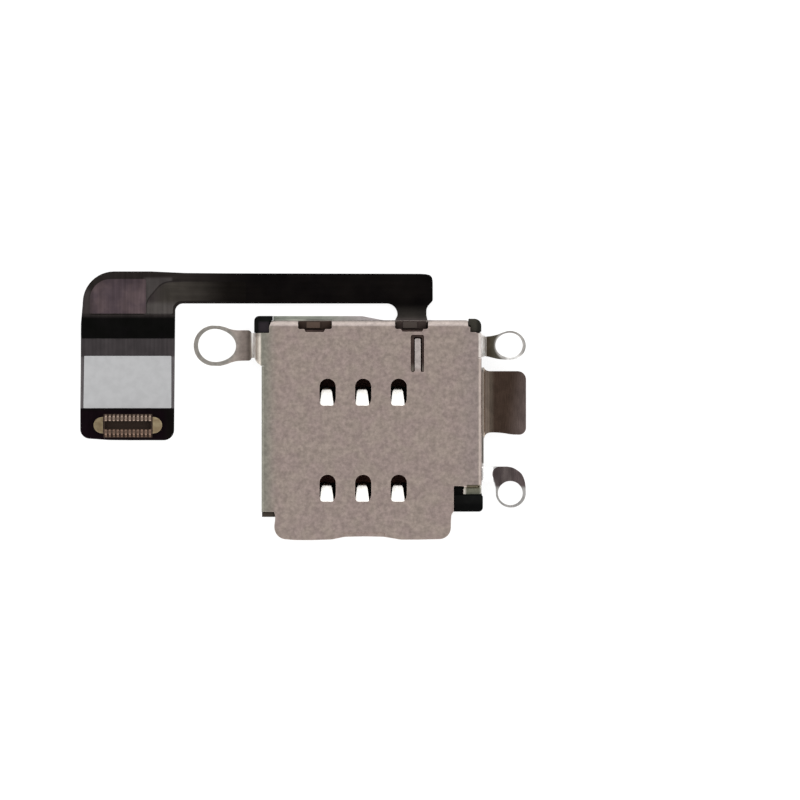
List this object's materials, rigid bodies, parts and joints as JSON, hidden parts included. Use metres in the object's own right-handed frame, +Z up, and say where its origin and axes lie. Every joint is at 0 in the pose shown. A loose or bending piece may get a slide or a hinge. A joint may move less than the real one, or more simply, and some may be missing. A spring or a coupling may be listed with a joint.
{
  "type": "sim card slot adapter",
  "caption": "Flat metal-shielded card reader with contact springs, screw ears and a push ejector, on a flexible circuit that ends in a low board connector.",
  "frame": {"origin": "middle of the part's outline, on the underside that it rests on", "axes": "+Z up, out of the shield's face; +Y is the way the card tray goes in; +X runs across the slot, away from the board connector"},
  "size_m": [0.0318, 0.0192, 0.0027],
  "materials": {
    "shell_steel": "fine matte, sandblasted",
    "plate_steel": "satin",
    "bracket_steel": "smooth, dark",
    "black_housing": "moulded, fine texture",
    "plunger_plastic": "moulded",
    "nickel_contact": "bright",
    "gold_contact": "plated, bright",
    "pin_gold": "plated, bright",
    "fitting_gold": "plated, satin",
    "flex_film": "smooth film",
    "label_paper": "matte"
  },
  "bodies": {
    "reader": {"top_shell": "shell_steel", "left_ear": "shell_steel", "upper_right_ear": "shell_steel", "base_plate": "plate_steel", "side_bracket": "bracket_steel", "lower_housing": "black_housing", "upper_insulator": "black_housing", "upper_contact_1": "nickel_contact", "upper_contact_2": "nickel_contact", "upper_contact_3": "nickel_contact", "upper_contact_4": "nickel_contact", "upper_contact_5": "nickel_contact", "upper_contact_6": "nickel_contact", "lower_contact_1": "gold_contact", "lower_contact_2": "gold_contact", "lower_contact_3": "gold_contact", "lower_contact_4": "gold_contact", "lower_contact_5": "gold_contact", "lower_contact_6": "gold_contact", "detect_switch_spring": "gold_contact", "detect_switch_contact": "gold_contact", "lever_pivot": "plate_steel", "flex_circuit": "flex_film", "connector_stiffener": "plate_steel", "label": "label_paper", "connector_housing": "black_housing", "connector_pins": "pin_gold", "connector_fitting_left": "fitting_gold", "connector_fitting_right": "fitting_gold"},
    "plunger": {"eject_plunger": "plunger_plastic"},
    "lever": {"eject_lever": "plate_steel"}
  },
  "joints": [
    {"name": "plunger_slide", "type": "slide", "parent": "reader", "child": "plunger", "axis": [0, 1, 0], "range_m": [0, 0.001]},
    {"name": "lever_turn", "type": "hinge", "parent": "reader", "child": "lever", "pos_m": [0.00955, 0.0042, 0.00118], "axis": [0, 0, 1], "range_deg": [0, 29.4]}
  ],
  "couplings": [
    {"joint": "lever_turn", "follows": "plunger_slide", "rad_per_m": 512}
  ]
}
